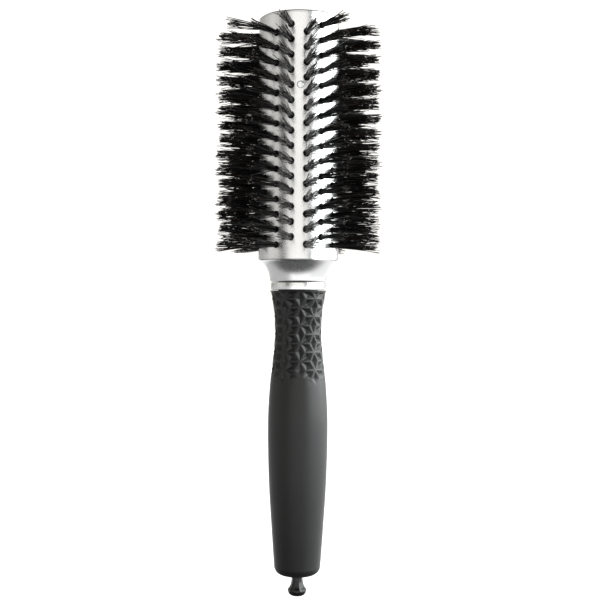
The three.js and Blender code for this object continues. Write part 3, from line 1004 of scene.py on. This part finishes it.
def light_ramp(tree, share, stops, place):
    """Brightness from a list of stops, read at a share of 0 to 1."""
    brightest = max(level for _, level in stops)
    ramp = add_node(tree, "ShaderNodeValToRGB", {"Fac": share})
    ramp.color_ramp.interpolation = "EASE"
    marks = ramp.color_ramp.elements
    while len(marks) > 1:
        marks.remove(marks[-1])
    for number, (degrees, level) in enumerate(stops):
        mark = marks[0] if number == 0 else marks.new(place(degrees))
        mark.position = place(degrees)
        mark.color = (level / brightest,) * 3 + (1,)
    return math_node(tree, "MULTIPLY", ramp.outputs["Color"], brightest)


def light_around(tree, axes, stops):
    """Brightness by direction round the brush."""
    toward = math_node(tree, "MULTIPLY", axes["Y"], -1.0)
    angle = math_node(tree, "ARCTAN2", axes["X"], toward)
    share = spread(tree, angle, 0, 1, -math.pi, math.pi)
    return light_ramp(tree, share, stops, lambda degrees: (degrees + 180) / 360)


def smooth_step(tree, value, start, end):
    inputs = {"Value": value, "From Min": start, "From Max": end}
    node = add_node(tree, "ShaderNodeMapRange", inputs, interpolation_type="SMOOTHSTEP")
    return node.outputs["Result"]


def table_light(tree, axes, ring, behind):
    """Light of the table: none in the patch, a glow round it, and an even white behind the brush."""
    sides = math_node(tree, "MULTIPLY", ring, light_around(tree, axes, GLOW))
    off_axis = math_node(tree, "ABSOLUTE", axes["X"])
    beyond = math_node(tree, "MULTIPLY_ADD", axes["Y"], -BACK_SPREAD, off_axis)
    wedge = smooth_step(tree, beyond, BACK_FADE, BACK_HALF_WIDTH)
    back = math_node(tree, "MULTIPLY", behind, wedge)
    back = math_node(tree, "MULTIPLY", back, TABLE_WHITE - TABLE_BASE)
    return math_node(tree, "MAXIMUM", sides, back)


def light_table():
    """A large white table lit from below, with a soft patch under the brush that is unlit and painted dark:
    a painted shadow.

    The brush hangs above it, high enough for the pick to be drawn out.
    """
    material, tree, shader = new_material("light_table", Roughness=0.9, Specular_IOR_Level=0.1)
    place = add_node(tree, "ShaderNodeTexCoord").outputs["Object"]
    axes = add_node(tree, "ShaderNodeSeparateXYZ", {"Vector": place}).outputs
    inputs = {0: place, 1: (*PATCH_CENTRE, FLOOR)}
    away = add_node(tree, "ShaderNodeVectorMath", inputs, operation="DISTANCE").outputs["Value"]
    ring = smooth_step(tree, away, PATCH_INNER, PATCH_OUTER)
    behind = smooth_step(tree, axes["Y"], BACK_START, BACK_FULL)
    pale = math_node(tree, "MAXIMUM", ring, behind)
    tone = spread(tree, object_noise(tree, 40, detail=3), 0, 1)
    paper = mix_colours(tree, tone, (0.44, 0.44, 0.44), (0.46, 0.46, 0.46))
    # Painted shadow: the table's colour is dark in the patch and pale outside it
    tree.links.new(mix_colours(tree, pale, (0.12, 0.12, 0.12), paper), shader.inputs["Base Color"])
    shader.inputs["Emission Color"].default_value = (1, 1, 1, 1)
    tree.links.new(table_light(tree, axes, ring, behind), shader.inputs["Emission Strength"])
    edge = FLOOR_HALF_WIDTH
    corners = [(-edge, -edge, FLOOR), (edge, -edge, FLOOR), (edge, edge, FLOOR), (-edge, edge, FLOOR)]
    floor = mesh_object("floor", corners, [(0, 1, 2, 3)], material)


def camera():
    """Level with the upper grip, as far off as the photographer stood, with the picture's slight lean."""
    lens = bpy.data.cameras.new("camera")
    lens.sensor_width = 36
    lens.lens = LENS
    view = bpy.data.objects.new("camera", lens)
    view.location = (CAMERA_SIDE, -CAMERA_DISTANCE, CAMERA_HEIGHT)
    view.rotation_euler = (math.pi / 2, CAMERA_ROLL, 0)
    bpy.context.scene.collection.objects.link(view)
    bpy.context.scene.camera = view


camera()
studio()
build_sleeve()
build_bristles()
build_tip_cap()
build_cross_pin()
build_ferrule()
build_band()
build_grip()
build_bush()
build_knob()
build_shaft()
build_ring()
dress_cad("barrel_core", CORE)
dress_cad("handle_core", CORE)

bpy.context.view_layer.update()
